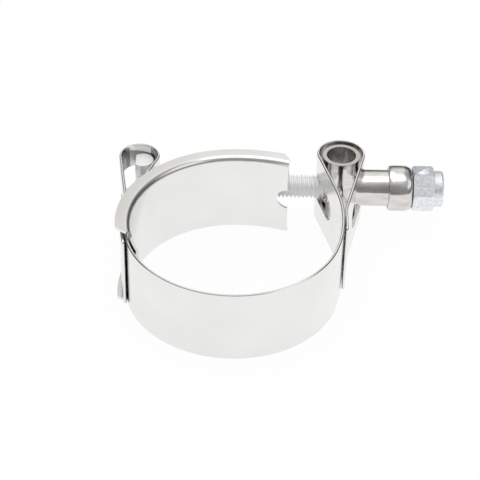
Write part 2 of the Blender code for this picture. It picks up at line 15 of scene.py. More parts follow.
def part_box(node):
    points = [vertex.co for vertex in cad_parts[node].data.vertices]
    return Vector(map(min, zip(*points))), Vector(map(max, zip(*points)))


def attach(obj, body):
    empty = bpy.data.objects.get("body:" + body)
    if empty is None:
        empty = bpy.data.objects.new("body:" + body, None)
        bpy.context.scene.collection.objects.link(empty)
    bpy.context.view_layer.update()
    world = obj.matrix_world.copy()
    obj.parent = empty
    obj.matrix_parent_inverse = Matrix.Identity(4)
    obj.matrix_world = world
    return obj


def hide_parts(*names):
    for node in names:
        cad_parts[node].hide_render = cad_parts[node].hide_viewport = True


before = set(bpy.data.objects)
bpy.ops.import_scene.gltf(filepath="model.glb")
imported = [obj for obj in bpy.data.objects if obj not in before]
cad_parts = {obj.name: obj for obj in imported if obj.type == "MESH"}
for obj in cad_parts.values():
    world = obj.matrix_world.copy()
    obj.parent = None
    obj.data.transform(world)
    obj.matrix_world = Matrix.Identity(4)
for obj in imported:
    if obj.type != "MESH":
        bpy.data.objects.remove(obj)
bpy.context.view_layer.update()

MM = 0.001

# Band
BAND_THICKNESS = 0.7 * MM
BAND_WIDTH = 19.0 * MM
RING_INNER_DIAMETER = 50.2 * MM
LAYER_GAP = 0.12 * MM
LEG_CORNER_RADIUS = 0.9 * MM
NUGGET_RADIUS = 1.5 * MM
NUGGET_DEPTH = 0.25 * MM
NUGGET_SPACING = 9.0 * MM

# Bolt
BOLT_STAND_OFF = 3.75 * MM
THREAD_DIAMETER = 5.9 * MM
THREAD_PITCH = 1.0 * MM
THREAD_DEPTH = 0.58 * MM
SHANK_STEP = 0.3 * MM
THREAD_CHAMFER = 0.5 * MM
THREAD_LEAD = 19.0 * MM
HEAD_INSET = 2.45 * MM
HEAD_DIAMETER = 5.5 * MM
HEAD_END_INSET = 2.2 * MM
HEAD_FLAT_OFFSET = 1.8 * MM
HEAD_EDGE_ROUNDING = 0.5 * MM

# Trunnion
BARREL_OVERHANG = 1.15 * MM
BARREL_STAND_OUT = 0.3 * MM
BARREL_SIDE_STEP = 0.01 * MM
BARREL_WALL = 1.0 * MM
SLEEVE_BOLT_GAP = 0.6 * MM
SLEEVE_WALL = 1.09 * MM
SLEEVE_REACH = 13.6 * MM
BOLT_HOLE_CLEARANCE = 0.4 * MM
JOINT_BLEND = 1.6 * MM

# Cap
CAP_OVERLAP = 1.4 * MM
CAP_LENGTH = 6.0 * MM
CAP_WALL = 0.91 * MM
CAP_SHOULDER = 2.4 * MM
CAP_SHOULDER_STEP = 1.15 * MM
CAP_INNER_STEP = 0.54 * MM
CAP_FIT_GAP = 0.3 * MM
CAP_END_WALL = 1.0 * MM
CAP_CROWN = 0.2 * MM
CAP_CROWN_RUN = 1.6 * MM

# Nut
NUT_GAP = 0.15 * MM
NUT_HEX_LENGTH = 5.3 * MM
NUT_WALL = 2.05 * MM
NUT_CHAMFER = 0.45 * MM
NUT_CHAMFER_SLOPE = math.radians(49.0)
NUT_COLLAR_LENGTH = 2.4 * MM
NUT_COLLAR_WALL = 0.5 * MM
NUT_COLLAR_ROUNDING = 0.6 * MM
NUT_FLAT_TILT = math.radians(45.0)
NUT_BORE_GAP = 0.1 * MM
RING_GAP = 0.2 * MM
RING_LENGTH = 1.6 * MM
RING_WALL = 0.8 * MM
RING_LIP = 0.4 * MM
BOLT_END_INSET = 0.3 * MM

# Loops of the band
RIGHT_LOOP_PLAY = 0.65 * MM
RIGHT_LOOP_OFFSET_Y = 1.3 * MM
LEFT_LOOP_GAP = 0.32 * MM
LEFT_LOOP_SHIFT_X = 0.7 * MM
LEFT_LOOP_OFFSET_Y = -1.05 * MM
SLOT_REACH = 8.4 * MM
BOLT_SLOT_GAP = 0.45 * MM
SLEEVE_SLOT_GAP = 0.61 * MM
THROAT_BEND_RADIUS = 15.0 * MM
RIGHT_END = {
    "leave": math.radians(-16.0),
    "straight": 13.47 * MM,
    "weld_top": math.radians(1.0),
    "weld_low": math.radians(-1.8),
    "leg": 3.9 * MM,
}
LEFT_END = {
    "leave": math.radians(-12.0),
    "straight": 10.6 * MM,
    "weld_top": math.radians(7.4),
    "weld_low": math.radians(-9.0),
    "leg": 3.9 * MM,
}

# Bridge
BRIDGE_THICKNESS = 0.7 * MM
BRIDGE_WELD_GAP = 0.3 * MM
BRIDGE_BOLT_GAP = 0.43 * MM
BRIDGE_LIFT = 0.3 * MM
BRIDGE_TONGUE_END = math.radians(-166.0)
BRIDGE_TONGUE_SPAN = math.radians(12.0)
BRIDGE_LIP_DELAY = math.radians(2.0)
BRIDGE_BACK_HEADING = math.radians(2.0)
BRIDGE_BACK_RADIUS = 35.0 * MM
BRIDGE_END_GAP = 13.2 * MM
LIP_BEND_RADIUS = 0.95 * MM
LIP_TURN = math.radians(90.0)
LIP_LENGTH = 2.4 * MM
LIP_CORNER = 2.2 * MM
NOTCH_GAP = 0.05 * MM

# Fineness and softened edges
ARC_STEP = math.radians(1.5)
BEND_STEP = math.radians(6.0)
ROUND_SEGMENTS = 96
SHOULDER_STEPS = 14
COLLAR_STEPS = 10
CROWN_STEPS = 8
CORNER_STEPS = 6
MERGE = 0.00001
CUT_MARGIN = 5.0 * MM
SHEET_EDGE = 0.2 * MM
SHEET_EDGE_STEPS = 1
SLOT_EDGE = 0.07 * MM
EDGE_STEPS = 2
EDGE_ANGLE = math.radians(40.0)
FINE_EDGE_STEPS = 3
HEAD_EDGE_STEPS = 5
TRUNNION_EDGE = 0.22 * MM
TRUNNION_EDGE_ANGLE = math.radians(60.0)
CAP_EDGE = 0.15 * MM
CAP_EDGE_ANGLE = math.radians(50.0)
NUT_EDGE = 0.16 * MM
NUT_EDGE_ANGLE = math.radians(28.0)
NYLON_EDGE = 0.15 * MM
SMOOTH_ANGLE = math.radians(35.0)
NORMAL_WEIGHT = 80
NUGGET_SEGMENTS = 32

# Rings along the barrel and the sleeve, which give the fillet between them points to move
BARREL_RINGS = 60
SLEEVE_RINGS = 50
BLEND_PASSES = 6
BLEND_PROBE = 0.01 * MM
BLEND_LEAST_SLOPE = 0.01

# Thread: steps in a turn, (share of the pitch, share of the depth) of its section, slope of its start
THREAD_STEPS = 40
THREAD_SECTION = ((0.0, 0.0), (0.36, 1.0), (0.52, 1.0), (0.88, 0.0))
THREAD_RUN_IN = 0.6

# Least share of a face's normal that has to point at an inner wall's centre, or sideways, for painted shade
INNER_WALL_SHARE = 0.6

BAND_MID_Z = BAND_WIDTH / 2
RING_RADIUS = RING_INNER_DIAMETER / 2 + BAND_THICKNESS / 2
THREAD_RADIUS = THREAD_DIAMETER / 2
SHANK_RADIUS = THREAD_RADIUS - SHANK_STEP
BOLT_AXIS_Y = RING_RADIUS + BOLT_STAND_OFF
HEAD_RADIUS = HEAD_DIAMETER / 2
HEAD_LENGTH = BAND_WIDTH - 2 * HEAD_END_INSET
HEAD_AXIS_X = HEAD_INSET - RING_RADIUS
SLEEVE_BORE_RADIUS = THREAD_RADIUS + SLEEVE_BOLT_GAP
SLEEVE_RADIUS = SLEEVE_BORE_RADIUS + SLEEVE_WALL
BARREL_RADIUS = SLEEVE_RADIUS + BARREL_SIDE_STEP
BARREL_HEIGHT = BAND_WIDTH + 2 * BARREL_STAND_OUT
BARREL_AXIS_X = RING_RADIUS + BARREL_OVERHANG
SLEEVE_END_X = BARREL_AXIS_X + SLEEVE_REACH
THREAD_START_X = BARREL_AXIS_X - THREAD_LEAD
BOLT_HOLE_RADIUS = THREAD_RADIUS + BOLT_HOLE_CLEARANCE
SLOT_END_Y = BOLT_AXIS_Y - SLOT_REACH
BOLT_SLOT_HEIGHT = THREAD_DIAMETER + 2 * BOLT_SLOT_GAP
SLEEVE_SLOT_HEIGHT = 2 * (SLEEVE_RADIUS + SLEEVE_SLOT_GAP)
NOTCH_RADIUS = SHANK_RADIUS + NOTCH_GAP
BRIDGE_END_X = BARREL_AXIS_X - BRIDGE_END_GAP
RIGHT_LOOP_RADIUS = BARREL_RADIUS + RIGHT_LOOP_PLAY + BAND_THICKNESS / 2
LEFT_LOOP_PLAY = math.hypot(LEFT_LOOP_SHIFT_X, LEFT_LOOP_OFFSET_Y) + LEFT_LOOP_GAP
LEFT_LOOP_RADIUS = HEAD_RADIUS + LEFT_LOOP_PLAY + BAND_THICKNESS / 2
RIGHT_LOOP_CENTRE = Vector((BARREL_AXIS_X, BOLT_AXIS_Y + RIGHT_LOOP_OFFSET_Y))
LEFT_LOOP_CENTRE = Vector((HEAD_AXIS_X - LEFT_LOOP_SHIFT_X, BOLT_AXIS_Y + LEFT_LOOP_OFFSET_Y))
CAP_START_X = SLEEVE_END_X - CAP_OVERLAP
CAP_END_X = CAP_START_X + CAP_LENGTH
CAP_INNER_RADIUS = SLEEVE_RADIUS + CAP_FIT_GAP
CAP_RADIUS = CAP_INNER_RADIUS + CAP_WALL
NUT_START_X = CAP_END_X + NUT_GAP
NUT_LENGTH = NUT_HEX_LENGTH + NUT_COLLAR_LENGTH
BOLT_END_X = NUT_START_X + NUT_LENGTH - BOLT_END_INSET
NUT_CORNER_RADIUS = (THREAD_RADIUS + NUT_WALL) * 2 / math.sqrt(3.0)
NUT_BORE_RADIUS = THREAD_RADIUS + NUT_BORE_GAP
RING_INNER_RADIUS = THREAD_RADIUS + RING_GAP
RING_OUTER_RADIUS = RING_INNER_RADIUS + RING_WALL
RING_POCKET_RADIUS = RING_OUTER_RADIUS + RING_GAP / 2
NUT_COLLAR_RADIUS = RING_POCKET_RADIUS + NUT_COLLAR_WALL
BOLT_LINE = Vector((0.0, BOLT_AXIS_Y, BAND_MID_Z))


def frame_origin():
    """Where the ring's centre, at the band's lower edge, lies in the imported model's frame."""
    barrel_low, barrel_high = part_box("trunnion")
    band_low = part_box("band")[0]
    return Vector((
        barrel_low[0] + BARREL_RADIUS - BARREL_AXIS_X,
        (barrel_low[1] + barrel_high[1]) / 2 - BOLT_AXIS_Y,
        band_low[2],
    ))


ORIGIN = frame_origin()


# Objects and mesh helpers

def add_object(name, mesh):
    """A new object of the scene with this mesh."""
    item = bpy.data.objects.new(name, mesh)
    bpy.context.scene.collection.objects.link(item)
    return item


def mesh_from(bm, name):
    """The mesh of a bmesh, which is used up."""
    mesh = bpy.data.meshes.new(name)
    bm.to_mesh(mesh)
    bm.free()
    return mesh


def bake(item):
    """Make the modifiers' result the object's own mesh."""
    bpy.context.view_layer.update()
    graph = bpy.context.evaluated_depsgraph_get()
    mesh = bpy.data.meshes.new_from_object(item.evaluated_get(graph))
    item.modifiers.clear()
    item.data = mesh
    return item


def combine(item, other, operation):
    """Boolean with another object, which is used up."""
    modifier = item.modifiers.new("Combine", "BOOLEAN")
    modifier.operation = operation
    modifier.solver = "EXACT"
    modifier.object = other
    bake(item)
    bpy.data.objects.remove(other, do_unlink=True)
    return item


def soften(item, width, steps=EDGE_STEPS, angle=EDGE_ANGLE):
    """Round every sharp edge a little."""
    bevel = item.modifiers.new("Edges", "BEVEL")
    bevel.width = width
    bevel.segments = steps
    bevel.limit_method = "ANGLE"
    bevel.angle_limit = angle
    bevel.use_clamp_overlap = True
    return bake(item)


def settle_normals(item):
    """Shade the curved faces smooth and the flat ones flat."""
    item.data.shade_smooth()
    item.data.set_sharp_from_angle(angle=SMOOTH_ANGLE)
    weighted = item.modifiers.new("Normals", "WEIGHTED_NORMAL")
    weighted.keep_sharp = True
    weighted.weight = NORMAL_WEIGHT
    return bake(item)


def cylinder(name, radius, length, centre, axis="Z", segments=ROUND_SEGMENTS, rings=1):
    """A closed round bar whose middle is at centre, cut into rings along its length."""
    bm = bmesh.new()
    bmesh.ops.create_cone(
        bm, cap_ends=True, segments=segments, radius1=radius, radius2=radius, depth=length)
    for i in range(1, rings):
        level = -length / 2 + length * i / rings
        bmesh.ops.bisect_plane(
            bm, geom=[*bm.verts, *bm.edges, *bm.faces], plane_co=(0.0, 0.0, level),
            plane_no=(0.0, 0.0, 1.0))
    turn = {"X": Matrix.Rotation(math.pi / 2, 4, "Y"), "Y": Matrix.Rotation(-math.pi / 2, 4, "X"),
            "Z": Matrix.Identity(4)}[axis]
    bmesh.ops.transform(bm, matrix=Matrix.Translation(centre) @ turn, verts=bm.verts)
    return add_object(name, mesh_from(bm, name))


def box(name, low, high):
    """A closed box between two corners."""
    low, high = Vector(low), Vector(high)
    bm = bmesh.new()
    bmesh.ops.create_cube(bm, size=1.0)
    scaled = Matrix.Translation((low + high) / 2) @ Matrix.Diagonal((*(high - low), 1.0))
    bmesh.ops.transform(bm, matrix=scaled, verts=bm.verts)
    return add_object(name, mesh_from(bm, name))


def turned(name, profile, segments=ROUND_SEGMENTS, closed=False):
    """Turn (radius, place along X) points about the bolt's line."""
    bm = bmesh.new()
    rings = []
    for radius, along in profile:
        if radius < MERGE:
            rings.append([bm.verts.new((along, 0.0, 0.0))])
            continue
        ring = []
        for i in range(segments):
            angle = 2 * math.pi * i / segments
            ring.append(bm.verts.new((along, radius * math.sin(angle), radius * math.cos(angle))))
        rings.append(ring)
    pairs = list(zip(rings, rings[1:]))
    if closed:
        pairs.append((rings[-1], rings[0]))
    for first, second in pairs:
        for i in range(segments):
            j = (i + 1) % segments
            corners = [first[i % len(first)], first[j % len(first)],
                       second[j % len(second)], second[i % len(second)]]
            bm.faces.new(list(dict.fromkeys(corners)))
    bmesh.ops.recalc_face_normals(bm, faces=bm.faces)
    bmesh.ops.translate(bm, verts=bm.verts, vec=BOLT_LINE)
    return add_object(name, mesh_from(bm, name))


def rounded_edge(inner, outer, end_x, depth, steps):
    """Profile points of a turned edge that rounds over from the end face to the outside."""
    points = []
    for i in range(steps + 1):
        angle = math.pi / 2 * i / steps
        points.append((inner + (outer - inner) * math.sin(angle), end_x - depth * (1 - math.cos(angle))))
    return points


def slot_cutter(name, low_x, high_x, end_y, back_y, height):
    """A long slot seen along X: round at the front end and open at the back."""
    radius = height / 2
    steps = ROUND_SEGMENTS // 2
    outline = [(back_y, -radius)]
    for i in range(steps + 1):
        angle = math.pi * i / steps
        outline.append((end_y - radius * math.sin(angle), -radius * math.cos(angle)))
    outline.append((back_y, radius))
    bm = bmesh.new()
    face = bm.faces.new([bm.verts.new((low_x, y, BAND_MID_Z + z)) for y, z in outline])
    swept = bmesh.ops.extrude_face_region(bm, geom=[face])
    moved = [part for part in swept["geom"] if isinstance(part, bmesh.types.BMVert)]
    bmesh.ops.translate(bm, verts=moved, vec=(high_x - low_x, 0.0, 0.0))
    bmesh.ops.recalc_face_normals(bm, faces=bm.faces)
    return add_object(name, mesh_from(bm, name))


# Plan curves

def direction(angle):
    """Unit vector of the plan at an angle from +X."""
    return Vector((math.cos(angle), math.sin(angle)))


def arc(centre, radius, start, end, step=ARC_STEP):
    """Points of an arc of the plan, no further apart than the step."""
    count = max(2, math.ceil(abs(end - start) / step))
    return [centre + radius * direction(start + (end - start) * i / count) for i in range(count + 1)]


def tangent_heading(first, first_radius, first_turn, second, second_radius, second_turn):
    """Heading of the line that leaves one circle and joins the next; turn is 1 for leftwards."""
    span = second - first
    reach = (second_turn * second_radius - first_turn * first_radius) / span.length
    return math.atan2(span.y, span.x) - math.asin(reach)


def joined(*runs):
    """One list of points from several runs, without the repeats where they meet."""
    points = []
    for run in runs:
        for point in run:
            if not points or (point - points[-1]).length > MERGE:
                points.append(point)
    return points


def relaxed_radius(end, loop_centre, loop_radius):
    """Radius of the end's wide arc that leaves a straight run of the wanted length to the loop."""
    leave = direction(end["leave"])
    span = loop_centre - RING_RADIUS * leave
    room = loop_radius + RING_RADIUS - loop_centre.dot(leave)
    return (span.length_squared - loop_radius ** 2 - end["straight"] ** 2) / (2 * room)


def band_end(end, loop_centre, loop_radius):
    """Centre line of a right-hand end, from the ring's front to the tip of the welded leg."""
    ring = Vector((0.0, 0.0))
    quarter = math.pi / 2
    wide = relaxed_radius(end, loop_centre, loop_radius)
    relaxed = ring + (RING_RADIUS - wide) * direction(end["leave"])
    leg_radius = wide + BAND_THICKNESS + LAYER_GAP
    throat = relaxed + (leg_radius + THROAT_BEND_RADIUS) * direction(end["weld_top"])
    inward = tangent_heading(relaxed, wide, 1, loop_centre, loop_radius, -1)
    outward = tangent_heading(loop_centre, loop_radius, -1, throat, THROAT_BEND_RADIUS, 1)
    tip = relaxed + leg_radius * direction(end["weld_low"])
    tip = tip + end["leg"] * direction(end["weld_low"] - quarter)
    return joined(
        arc(ring, RING_RADIUS, -quarter, end["leave"]),
        arc(relaxed, wide, end["leave"], inward - quarter),
        arc(loop_centre, loop_radius, inward + quarter, outward + quarter, BEND_STEP / 2),
        arc(throat, THROAT_BEND_RADIUS, outward - quarter + 2 * math.pi, end["weld_top"] + math.pi),
        arc(relaxed, leg_radius, end["weld_top"], end["weld_low"]),
        [tip],
    ), relaxed, wide


def mirrored(points):
    """The same points on the other side of the ring."""
    return [Vector((-point.x, point.y)) for point in points]


# Band

def make_band():
    """The ring with both looped ends, its slots, and the nuggets that weld the legs down."""
    right, right_relaxed, right_wide = band_end(RIGHT_END, RIGHT_LOOP_CENTRE, RIGHT_LOOP_RADIUS)
    left_centre = Vector((-LEFT_LOOP_CENTRE.x, LEFT_LOOP_CENTRE.y))
    left, left_relaxed, left_wide = band_end(LEFT_END, left_centre, LEFT_LOOP_RADIUS)
    route = joined(reversed(mirrored(left)), right)
    bm = bmesh.new()
    rows = [(bm.verts.new((p.x, p.y, 0.0)), bm.verts.new((p.x, p.y, BAND_WIDTH))) for p in route]
    for (low, high), (next_low, next_high) in zip(rows, rows[1:]):
        bm.faces.new((low, next_low, next_high, high))
    bmesh.ops.bevel(
        bm, geom=[*rows[0], *rows[-1]], offset=LEG_CORNER_RADIUS, offset_type="OFFSET",
        segments=CORNER_STEPS, profile=0.5, affect="VERTICES")
    band = add_object("formed_band", mesh_from(bm, "formed_band"))
    solidify = band.modifiers.new("Sheet", "SOLIDIFY")
    solidify.thickness = BAND_THICKNESS
    solidify.offset = 0.0
    solidify.use_even_offset = True
    bake(band)
    soften(band, SHEET_EDGE, SHEET_EDGE_STEPS)

    right_x = RIGHT_LOOP_CENTRE.x
    right_back = RIGHT_LOOP_CENTRE.y + RIGHT_LOOP_RADIUS + CUT_MARGIN
    right_reach = RIGHT_LOOP_RADIUS + CUT_MARGIN
    combine(band, slot_cutter(
        "bolt_slot", right_x - right_reach, right_x, SLOT_END_Y, right_back, BOLT_SLOT_HEIGHT),
        "DIFFERENCE")
    combine(band, slot_cutter(
        "sleeve_slot", right_x - BAND_THICKNESS, right_x + right_reach, SLOT_END_Y, right_back,
        SLEEVE_SLOT_HEIGHT), "DIFFERENCE")
    left_x = LEFT_LOOP_CENTRE.x
    left_back = LEFT_LOOP_CENTRE.y + LEFT_LOOP_RADIUS + CUT_MARGIN
    left_reach = LEFT_LOOP_RADIUS + CUT_MARGIN
    combine(band, slot_cutter(
        "left_slot", left_x - left_reach, left_x + left_reach, SLOT_END_Y, left_back,
        BOLT_SLOT_HEIGHT), "DIFFERENCE")
    soften(band, SLOT_EDGE)

    ends = ((1, RIGHT_END, right_relaxed, right_wide), (-1, LEFT_END, left_relaxed, left_wide))
    for side, end, relaxed, wide in ends:
        angle = (end["weld_top"] + end["weld_low"]) / 2
        radius = wide + BAND_THICKNESS / 2 + LAYER_GAP / 2
        spot = relaxed + radius * direction(angle)
        for row in (-1, 1):
            nugget = cylinder(
                "nugget", NUGGET_RADIUS, LAYER_GAP + 2 * NUGGET_DEPTH, (0, 0, 0), "X", NUGGET_SEGMENTS)
            nugget.data.transform(Matrix.Rotation(side * angle, 4, "Z"))
            place = (side * spot.x, spot.y, BAND_MID_Z + row * NUGGET_SPACING / 2)
            nugget.data.transform(Matrix.Translation(place))
            combine(band, nugget, "UNION")
    mark_shaded(band, ends)
    return settle_normals(band)


def mark_shaded(band, ends):
    """Paint shade with the dark second material on the loops' inner walls and the legs' undersides.

    The right loop gets the painted shade all round, and the left loop only on its sideways walls.
    """
    loops = ((RIGHT_LOOP_CENTRE, RIGHT_LOOP_RADIUS), (LEFT_LOOP_CENTRE, LEFT_LOOP_RADIUS))
    for face in band.data.polygons:
        spot = face.center.xy
        normal = face.normal.xy
        shaded = False
        for centre, radius in loops:
            inward = centre - spot
            facing = normal.dot(inward.normalized()) > INNER_WALL_SHARE
            sideways = centre.x > 0.0 or abs(normal.x) > INNER_WALL_SHARE
            if inward.length < radius and facing and sideways:
                shaded = True
        for side, end, relaxed, wide in ends:
            away = Vector((side * spot.x, spot.y)) - relaxed
            outward = Vector((side * normal.x, normal.y)).dot(away.normalized())
            under_leg = away.length > wide + (BAND_THICKNESS + LAYER_GAP) / 2
            if under_leg and away.y < 0.0 and away.x > 0.0 and outward < -INNER_WALL_SHARE:
                shaded = True
        face.material_index = 1 if shaded else 0


# Bridge

def side_radius(tongue_radius, side_end):
    """Radius of the bridge's side bend that brings its back up to the wanted gap under the bolt."""
    top = BOLT_AXIS_Y - SHANK_RADIUS - BRIDGE_BOLT_GAP - BRIDGE_THICKNESS / 2
    start_rise = math.sin(BRIDGE_TONGUE_END)
    end_rise = math.sin(side_end)
    return (top - tongue_radius * start_rise - BRIDGE_BACK_RADIUS * (1 - end_rise)) / (end_rise - start_rise)


def bridge_route():
    """Plan centre line of the web, from the tongue's tip to the free end, and the lips' first point."""
    ring = Vector((0.0, 0.0))
    tongue_radius = RING_INNER_DIAMETER / 2 - BRIDGE_WELD_GAP - BRIDGE_THICKNESS / 2
    side_end = math.pi / 2 + BRIDGE_BACK_HEADING - 2 * math.pi
    lip_start = BRIDGE_TONGUE_END - BRIDGE_LIP_DELAY
    bend = side_radius(tongue_radius, side_end)
    side = ring + (tongue_radius - bend) * direction(BRIDGE_TONGUE_END)
    back = side + (bend - BRIDGE_BACK_RADIUS) * direction(side_end)
    back_end = math.acos((BRIDGE_END_X - back.x) / BRIDGE_BACK_RADIUS) - 2 * math.pi
    return joined(
        arc(ring, tongue_radius, BRIDGE_TONGUE_END + BRIDGE_TONGUE_SPAN, BRIDGE_TONGUE_END),
        arc(side, bend, BRIDGE_TONGUE_END, lip_start),
        arc(side, bend, lip_start, side_end),
        arc(back, BRIDGE_BACK_RADIUS, side_end, back_end, ARC_STEP / 2),
    ), side + bend * direction(lip_start)


def lip_section():
    """Points (outward, above the web's edge) of one turned-out lip, from the web to its tip."""
    count = max(2, math.ceil(LIP_TURN / BEND_STEP))
    bend = []
    for i in range(1, count + 1):
        angle = LIP_TURN * i / count
        bend.append((LIP_BEND_RADIUS * (1 - math.cos(angle)), LIP_BEND_RADIUS * math.sin(angle)))
    root = bend[-1]
    for share in (0.5, 1.0):
        reach = LIP_LENGTH * share
        bend.append((root[0] + reach * math.sin(LIP_TURN), root[1] + reach * math.cos(LIP_TURN)))
    return bend


def make_bridge():
    """The rolled web with its two lips, notched for the bolt at the free end."""
    route, lip_start = bridge_route()
    section = lip_section()
    low = BRIDGE_LIFT
    high = BRIDGE_LIFT + BAND_WIDTH
    first = min(range(len(route)), key=lambda i: (route[i] - lip_start).length)
    last = len(route) - 1
    bm = bmesh.new()
    rows = []
    for i, point in enumerate(route):
        before = route[max(i - 1, 0)]
        after = route[min(i + 1, last)]
        along = (after - before).normalized()
        outward = Vector((-along.y, along.x))
        web = [(0.0, low), (0.0, BAND_MID_Z + BRIDGE_LIFT), (0.0, high)]
        lower = [(out, low - up) for out, up in reversed(section)] if i >= first else []
        upper = [(out, high + up) for out, up in section] if i >= first else []
        row = []
        for out, z in (*lower, *web, *upper):
            place = point + outward * out
            row.append(bm.verts.new((place.x, place.y, z)))
        rows.append((row, len(lower)))
    for (row, skip), (next_row, next_skip) in zip(rows, rows[1:]):
        if skip == next_skip:
            pairs = zip(row, row[1:], next_row, next_row[1:])
        else:
            web_end = next_skip + len(row)
            pairs = zip(row, row[1:], next_row[next_skip:web_end], next_row[next_skip + 1:web_end])
        for corner, above, next_corner, next_above in pairs:
            bm.faces.new((corner, above, next_above, next_corner))
    bridge = add_object("flanged_bridge", mesh_from(bm, "flanged_bridge"))
    solidify = bridge.modifiers.new("Sheet", "SOLIDIFY")
    solidify.thickness = BRIDGE_THICKNESS
    solidify.offset = 0.0
    solidify.use_even_offset = True
    bake(bridge)
    tip = route[-1]
    combine(bridge, cylinder(
        "notch", NOTCH_RADIUS, 2 * CUT_MARGIN, (tip.x, tip.y, BAND_MID_Z), "Y"), "DIFFERENCE")
    for i, pull in ((first, -1), (last, 1)):
        before = route[max(i - 1, 0)]
        after = route[min(i + 1, last)]
        along = (after - before).normalized()
        outward = Vector((-along.y, along.x))
        reach = section[-1][0]
        for level in (low - section[-1][1], high + section[-1][1]):
            trim_corner(bridge, route[i], along * pull, outward, reach, level)
    soften(bridge, SHEET_EDGE, SHEET_EDGE_STEPS)
    return settle_normals(bridge)


def trim_corner(bridge, point, along, outward, reach, level):
    """Cut one outer corner of a lip at a slant; along points out of the lip's end."""
    corner = point + outward * reach
    cutter = box("corner", (-LIP_CORNER, -LIP_CORNER, -LIP_CORNER), (LIP_CORNER, LIP_CORNER, LIP_CORNER))
    turn = Matrix.Rotation(math.atan2(along.y, along.x) + math.pi / 4, 4, "Z")
    centre = corner + (along + outward).normalized() * (LIP_CORNER - LIP_CORNER / math.sqrt(2.0))
    cutter.data.transform(turn)
    cutter.data.transform(Matrix.Translation((centre.x, centre.y, level)))
    combine(bridge, cutter, "DIFFERENCE")


# Bolt with its T head

def make_thread():
    """The rolled thread: one helix from the shank to the bolt's end, closed at both ends."""
    steps = THREAD_STEPS
    length = BOLT_END_X - THREAD_START_X
    turns = length / THREAD_PITCH
    count = math.ceil(turns * steps)
    bm = bmesh.new()
    columns = []
    for i in range(-steps, count + 1):
        angle = -2 * math.pi * i / steps
        column = []
        for share, height in THREAD_SECTION:
            along = THREAD_START_X + THREAD_PITCH * (i / steps + share)
            limit = THREAD_RADIUS - max(0.0, along - (BOLT_END_X - THREAD_CHAMFER))
            run_in = THREAD_RADIUS - max(0.0, THREAD_START_X + THREAD_DEPTH - along) * THREAD_RUN_IN
            radius = min(THREAD_RADIUS - THREAD_DEPTH * (1.0 - height), limit, run_in)
            along = min(max(along, THREAD_START_X), BOLT_END_X)
            column.append(bm.verts.new((along, radius * math.sin(angle), radius * math.cos(angle))))
        columns.append(column)
    for i, (column, after) in enumerate(zip(columns, columns[1:])):
        for j in range(len(THREAD_SECTION) - 1):
            bm.faces.new((column[j], column[j + 1], after[j + 1], after[j]))
        if i + steps < len(columns):
            ahead = columns[i + steps]
            if i + 1 + steps < len(columns):
                ahead_after = columns[i + 1 + steps]
                bm.faces.new((column[-1], ahead[0], ahead_after[0], after[-1]))
    bmesh.ops.recalc_face_normals(bm, faces=bm.faces)
    bmesh.ops.translate(bm, verts=bm.verts, vec=BOLT_LINE)
    return add_object("thread", mesh_from(bm, "thread"))


def make_bolt():
    """The T head, the plain shank and the thread round its core."""
    head = cylinder("t_head_bolt", HEAD_RADIUS, HEAD_LENGTH, (HEAD_AXIS_X, BOLT_AXIS_Y, BAND_MID_Z))
    combine(head, box(
        "flat",
        (HEAD_AXIS_X - 2 * HEAD_RADIUS, BOLT_AXIS_Y - 2 * HEAD_RADIUS, -CUT_MARGIN),
        (HEAD_AXIS_X - HEAD_FLAT_OFFSET, BOLT_AXIS_Y + 2 * HEAD_RADIUS, BAND_WIDTH + CUT_MARGIN)),
        "DIFFERENCE")
    soften(head, HEAD_EDGE_ROUNDING, HEAD_EDGE_STEPS)
    body = turned("shank", [
        (0.0, THREAD_START_X + THREAD_PITCH),
        (SHANK_RADIUS, THREAD_START_X + THREAD_PITCH),
        (SHANK_RADIUS, HEAD_AXIS_X),
        (0.0, HEAD_AXIS_X),
    ])
    combine(head, body, "UNION")
    core = THREAD_RADIUS - THREAD_DEPTH
    inner = turned("core", [
        (0.0, BOLT_END_X),
        (core - THREAD_CHAMFER / 2, BOLT_END_X),
        (core, BOLT_END_X - THREAD_CHAMFER),
        (core, THREAD_START_X),
        (0.0, THREAD_START_X),
    ])
    combine(head, inner, "UNION")
    thread = make_thread()
    bm = bmesh.new()
    bm.from_mesh(head.data)
    bm.from_mesh(thread.data)
    bm.to_mesh(head.data)
    bm.free()
    bpy.data.objects.remove(thread, do_unlink=True)
    return settle_normals(head)


# Trunnion and cap

def blend_joint(item):
    """Fill the crease between barrel and sleeve with a smooth fillet."""
    centre = Vector((BARREL_AXIS_X, BOLT_AXIS_Y, BAND_MID_Z))

    def field(spot):
        """How far a spot lies outside barrel and sleeve, less near the crease between them."""
        to_barrel = math.hypot(spot.x, spot.y) - BARREL_RADIUS
        to_sleeve = math.hypot(spot.y, spot.z) - SLEEVE_RADIUS
        share = max(JOINT_BLEND - abs(to_barrel - to_sleeve), 0.0) / JOINT_BLEND
        return min(to_barrel, to_sleeve) - share * share * JOINT_BLEND / 4

    step = BLEND_PROBE
    for vertex in item.data.vertices:
        spot = vertex.co - centre
        on_side = abs(spot.z) < BARREL_HEIGHT / 2 - JOINT_BLEND and 0.0 < spot.x
        if not on_side or spot.x > SLEEVE_END_X - BARREL_AXIS_X - JOINT_BLEND:
            continue
        for _ in range(BLEND_PASSES):
            value = field(spot)
            slope = Vector((
                field(spot + Vector((step, 0, 0))) - value,
                field(spot + Vector((0, step, 0))) - value,
                field(spot + Vector((0, 0, step))) - value,
            )) / step
            if slope.length_squared < BLEND_LEAST_SLOPE:
                break
            spot = spot - slope * value / slope.length_squared
        vertex.co = spot + centre


